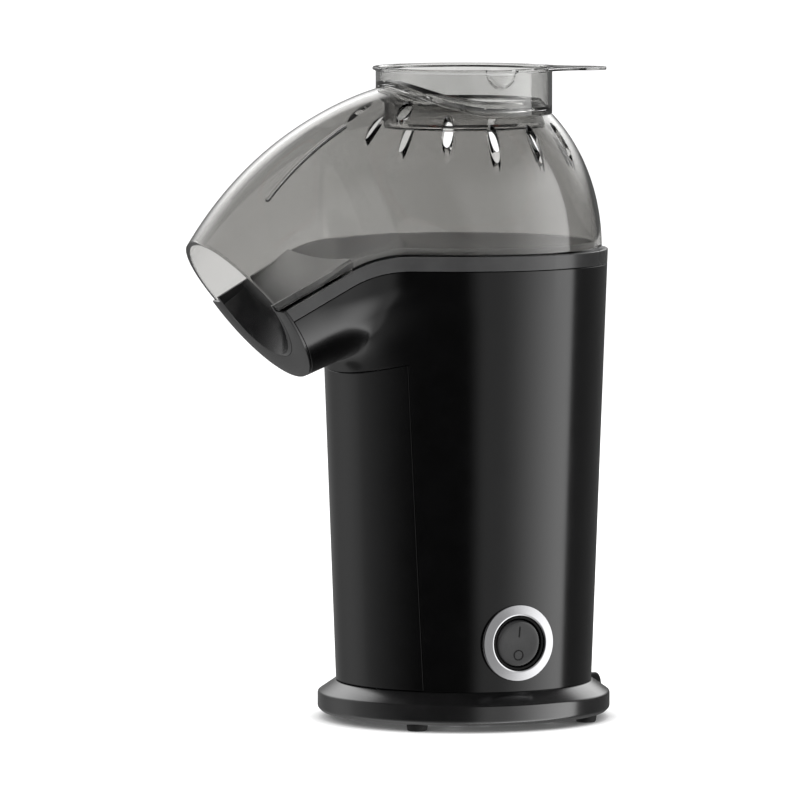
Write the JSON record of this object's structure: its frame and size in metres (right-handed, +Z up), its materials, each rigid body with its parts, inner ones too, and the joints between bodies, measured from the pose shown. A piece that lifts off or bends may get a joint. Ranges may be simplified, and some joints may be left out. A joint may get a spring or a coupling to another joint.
{
  "type": "popcorn maker",
  "caption": "Hot-air popcorn maker with a round flaring body on a foot ring, open chute spout, clear hooded lid, measuring cup and round rocker switch.",
  "frame": {"origin": "on the body's vertical axis, in the plane that the four feet stand on", "axes": "+Z up along the body's axis, the spout points towards -Y, the switch faces +X, the cord inlet faces +Y"},
  "size_m": [0.1348, 0.2021, 0.3],
  "materials": {
    "satin_black": "satin, semi-gloss",
    "matte_black": "matte",
    "rubber_black": "matte",
    "grey_band": "satin",
    "inner_black": "gloss",
    "smoke_clear": "clear smoke-tinted plastic, polished",
    "clear": "clear plastic, polished",
    "heat_plastic": "matte, glass-filled",
    "steel_can": "plated",
    "steel": "plain",
    "fan_plastic": "matte",
    "board": "resist",
    "sheet_steel": "galvanised",
    "chamber_aluminium": "drawn",
    "silicone": "matte",
    "mica": "matte mineral sheet",
    "wire": "resistance wire",
    "thermostat_can": "plain",
    "fuse_body": "glass-fibre sleeve",
    "bright_ring": "satin chrome",
    "switch_black": "satin"
  },
  "bodies": {
    "base": {"base_ring": "satin_black", "bottom_cover": "matte_black", "cord_gland": "rubber_black", "housing": "satin_black", "front_cover": "satin_black", "top_bezel": "grey_band", "chute_liner": "inner_black", "fan_housing": "heat_plastic", "motor_body": "steel_can", "rectifier_board": "board", "heat_jacket": "sheet_steel", "popping_chamber": "chamber_aluminium", "chamber_gasket": "silicone", "mica_frame": "mica", "heating_coil": "wire", "thermostat": "thermostat_can", "thermal_fuse": "fuse_body", "switch_ring": "bright_ring", "switch_body": "switch_black", "case_screws": "steel", "fan_housing_screws": "steel", "motor_screws": "steel", "foot_front_right": "rubber_black", "foot_rear_right": "rubber_black", "foot_rear_left": "rubber_black", "foot_front_left": "rubber_black"},
    "lid": {"lid": "smoke_clear"},
    "cup": {"measuring_cup": "clear"},
    "rocker": {"switch_rocker": "switch_black"},
    "fan": {"fan_impeller": "fan_plastic", "motor_shaft": "steel"}
  },
  "joints": [
    {"name": "lid_lift", "type": "slide", "parent": "base", "child": "lid", "axis": [0, 0, 1], "range_m": [0, 0.08]},
    {"name": "cup_lift", "type": "slide", "parent": "lid", "child": "cup", "axis": [0, 0, 1], "range_m": [0, 0.06]},
    {"name": "rocker_tilt", "type": "hinge", "parent": "base", "child": "rocker", "pos_m": [0.05742, 0, 0.04], "axis": [0, -1, 0], "range_deg": [0, 12]},
    {"name": "fan_spin", "type": "hinge", "parent": "base", "child": "fan", "pos_m": [0, 0, 0.07], "axis": [0, 0, 1], "continuous": true}
  ]
}
